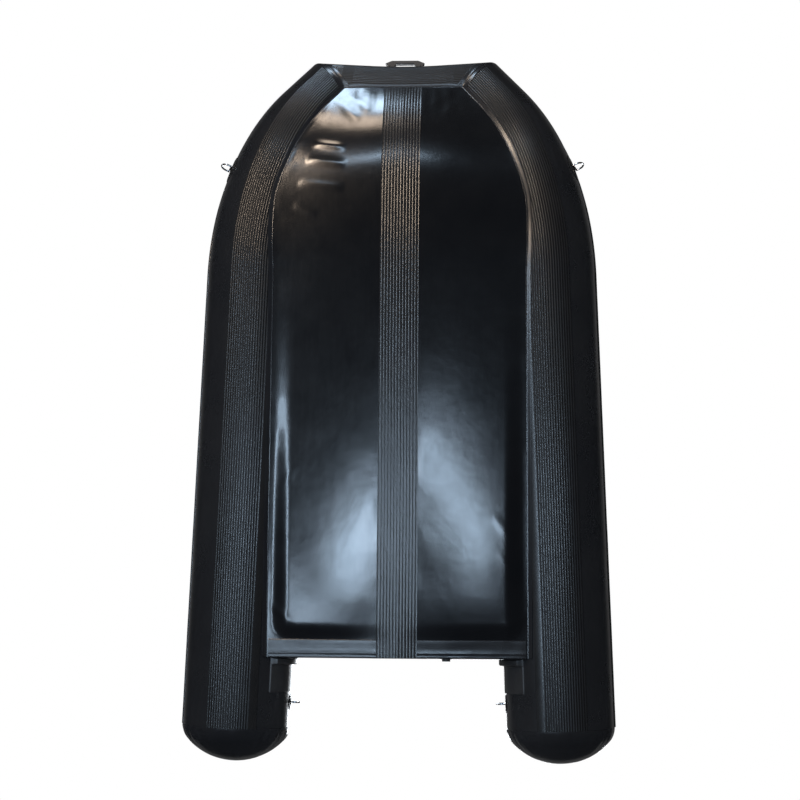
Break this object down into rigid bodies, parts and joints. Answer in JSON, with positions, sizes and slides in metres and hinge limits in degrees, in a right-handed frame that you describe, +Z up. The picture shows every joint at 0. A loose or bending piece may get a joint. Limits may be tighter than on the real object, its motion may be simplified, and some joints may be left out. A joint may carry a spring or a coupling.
{
  "type": "inflatable boat",
  "caption": "Inflatable dinghy with two side tubes bent up to a short bow tube, a ribbed keel strip, board transom, bench seat and swivel oars.",
  "frame": {"origin": "centre of the boat's footprint on the ground, under the middle of its length", "axes": "+X to port, -Y to the bow, +Z up; keel and tube guards rest at Z = 0"},
  "size_m": [1.7048, 2.9959, 0.7224],
  "materials": {
    "tube_fabric": "coated fabric, black, semi-gloss",
    "bottom_fabric": "coated fabric, black, gloss",
    "guard_rubber": "ribbed rubber, black, satin",
    "floor_fabric": "woven air floor, dark grey",
    "transom_board": "plastic-faced plywood, black, satin",
    "fitting_plastic": "moulded, black, matte",
    "valve_plastic": "moulded, dark grey, matte",
    "ring_steel": "stainless wire",
    "oar_aluminium": "anodised",
    "oar_plastic": "moulded, black",
    "bench_board": "anodised, satin"
  },
  "bodies": {
    "hull": {"bench_seat": "bench_board", "bow_air_valve": "valve_plastic", "bow_handle": "fitting_plastic", "bow_ring_patches": "guard_rubber", "bow_rings": "ring_steel", "bow_rub_strake": "guard_rubber", "bow_tube": "tube_fabric", "bow_tube_guard": "guard_rubber", "carry_handles": "fitting_plastic", "corner_tapes": "guard_rubber", "drain_plug": "fitting_plastic", "floor": "floor_fabric", "floor_valve": "valve_plastic", "hull_bottom": "bottom_fabric", "inner_motor_pad": "fitting_plastic", "keel_guard": "guard_rubber", "outer_motor_pad": "fitting_plastic", "port_air_valve": "valve_plastic", "port_oar_rest": "fitting_plastic", "port_rowlock": "fitting_plastic", "port_rub_strake": "guard_rubber", "port_stern_cap": "tube_fabric", "port_transom_holder": "guard_rubber", "port_tube": "tube_fabric", "port_tube_guard": "guard_rubber", "seat_holders": "guard_rubber", "starboard_air_valve": "valve_plastic", "starboard_oar_rest": "fitting_plastic", "starboard_rowlock": "fitting_plastic", "starboard_rub_strake": "guard_rubber", "starboard_stern_cap": "tube_fabric", "starboard_transom_holder": "guard_rubber", "starboard_tube": "tube_fabric", "starboard_tube_guard": "guard_rubber", "stern_ring_patches": "guard_rubber", "stern_rings": "ring_steel", "stern_tape": "bottom_fabric", "transom": "transom_board"},
    "port_oar": {"port_oar_shaft": "oar_aluminium", "port_oar_collar": "oar_plastic", "port_oar_grip": "oar_plastic", "port_oar_blade": "oar_plastic"},
    "starboard_oar": {"starboard_oar_shaft": "oar_aluminium", "starboard_oar_collar": "oar_plastic", "starboard_oar_grip": "oar_plastic", "starboard_oar_blade": "oar_plastic"}
  },
  "joints": [
    {"name": "port_oar_swing", "type": "hinge", "parent": "hull", "child": "port_oar", "pos_m": [0.60526, 0.2773, 0.4815], "axis": [0, 0, -1], "range_deg": [0, 130]},
    {"name": "starboard_oar_swing", "type": "hinge", "parent": "hull", "child": "starboard_oar", "pos_m": [-0.60526, 0.2773, 0.4815], "axis": [0, 0, 1], "range_deg": [0, 130]}
  ]
}
